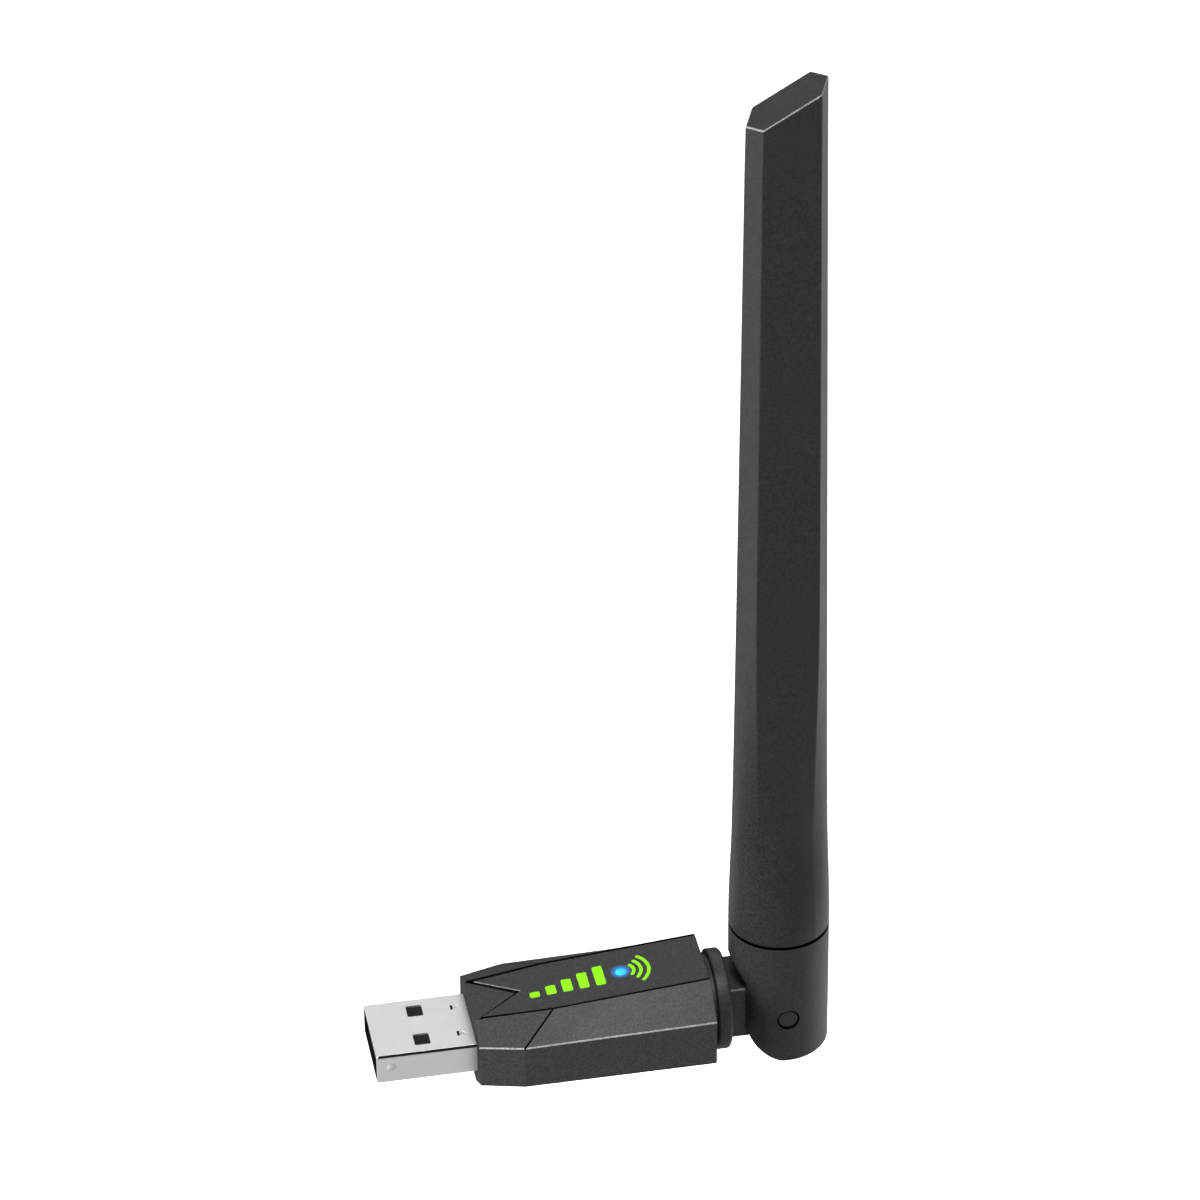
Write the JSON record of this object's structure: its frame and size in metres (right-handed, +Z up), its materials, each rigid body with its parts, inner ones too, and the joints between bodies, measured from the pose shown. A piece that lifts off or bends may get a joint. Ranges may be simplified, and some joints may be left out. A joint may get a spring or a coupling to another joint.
{
  "type": "usb wifi adapter",
  "caption": "USB network adapter with a metal plug, a faceted dark case and a tall flat blade antenna that swivels and folds",
  "frame": {"origin": "middle of the plug's open mouth, at the plug's centre height and width", "axes": "+X from the plug's mouth along the case towards the antenna, +Z up along the antenna at rest, +Y across the case"},
  "size_m": [0.0625, 0.0194, 0.1436],
  "materials": {
    "plug_metal": "bright nickel plate over folded steel",
    "black_insulator": "moulded",
    "gold_contact": "gold plated",
    "case_plastic": "fine spark-eroded texture",
    "case_plastic_dark": "fine spark-eroded texture",
    "panel_plastic": "fine spark-eroded texture",
    "board": "solder mask",
    "chip_black": "moulded package",
    "tin_plate": "tin plate",
    "ferrite": "ferrite",
    "ceramic": "ceramic with tinned ends",
    "lamp": "clear lens",
    "clear_plastic": "clear moulded plastic, lit blue",
    "solder": "soldered",
    "cable_jacket": "smooth cable jacket",
    "knuckle_plastic": "fine texture",
    "blade_plastic": "fine texture",
    "pin_plastic": "smooth",
    "spring_steel": "rolled",
    "seal_rubber": "smooth",
    "sleeve_brass": "drawn tube",
    "copper": "bare copper wire",
    "foam": "closed-cell foam",
    "mark_ink": "pad-printed ink"
  },
  "bodies": {
    "adapter": {"usb_shell": "plug_metal", "usb_insulator": "black_insulator", "usb_contacts": "gold_contact", "upper_shell": "case_plastic", "lower_shell": "case_plastic_dark", "top_panel": "panel_plastic", "circuit_board": "board", "wifi_chip": "chip_black", "shield_can": "tin_plate", "crystal": "tin_plate", "power_chip": "chip_black", "power_coil": "ferrite", "chip_parts": "ceramic", "status_led": "lamp", "light_pipe": "clear_plastic", "cable_joint": "solder", "cable_inner": "cable_jacket"},
    "knuckle": {"swivel_knuckle": "knuckle_plastic", "swivel_clip": "spring_steel", "swivel_seal": "seal_rubber", "hinge_washers": "spring_steel", "cable_middle": "cable_jacket"},
    "antenna": {"antenna_base": "knuckle_plastic", "antenna_cover": "blade_plastic", "hinge_pin_near": "pin_plastic", "hinge_pin_far": "pin_plastic", "cable_upper": "cable_jacket", "dipole_sleeve": "sleeve_brass", "radiator_wire": "copper", "foam_spacers": "foam"}
  },
  "joints": [
    {"name": "antenna_swivel", "type": "hinge", "parent": "adapter", "child": "knuckle", "pos_m": [0.0473, 0, 0.0006], "axis": [1, 0, 0], "range_deg": [-180, 180]},
    {"name": "antenna_fold", "type": "hinge", "parent": "knuckle", "child": "antenna", "pos_m": [0.0557, 0, 0.0006], "axis": [0, 1, 0], "range_deg": [0, 90]}
  ]
}
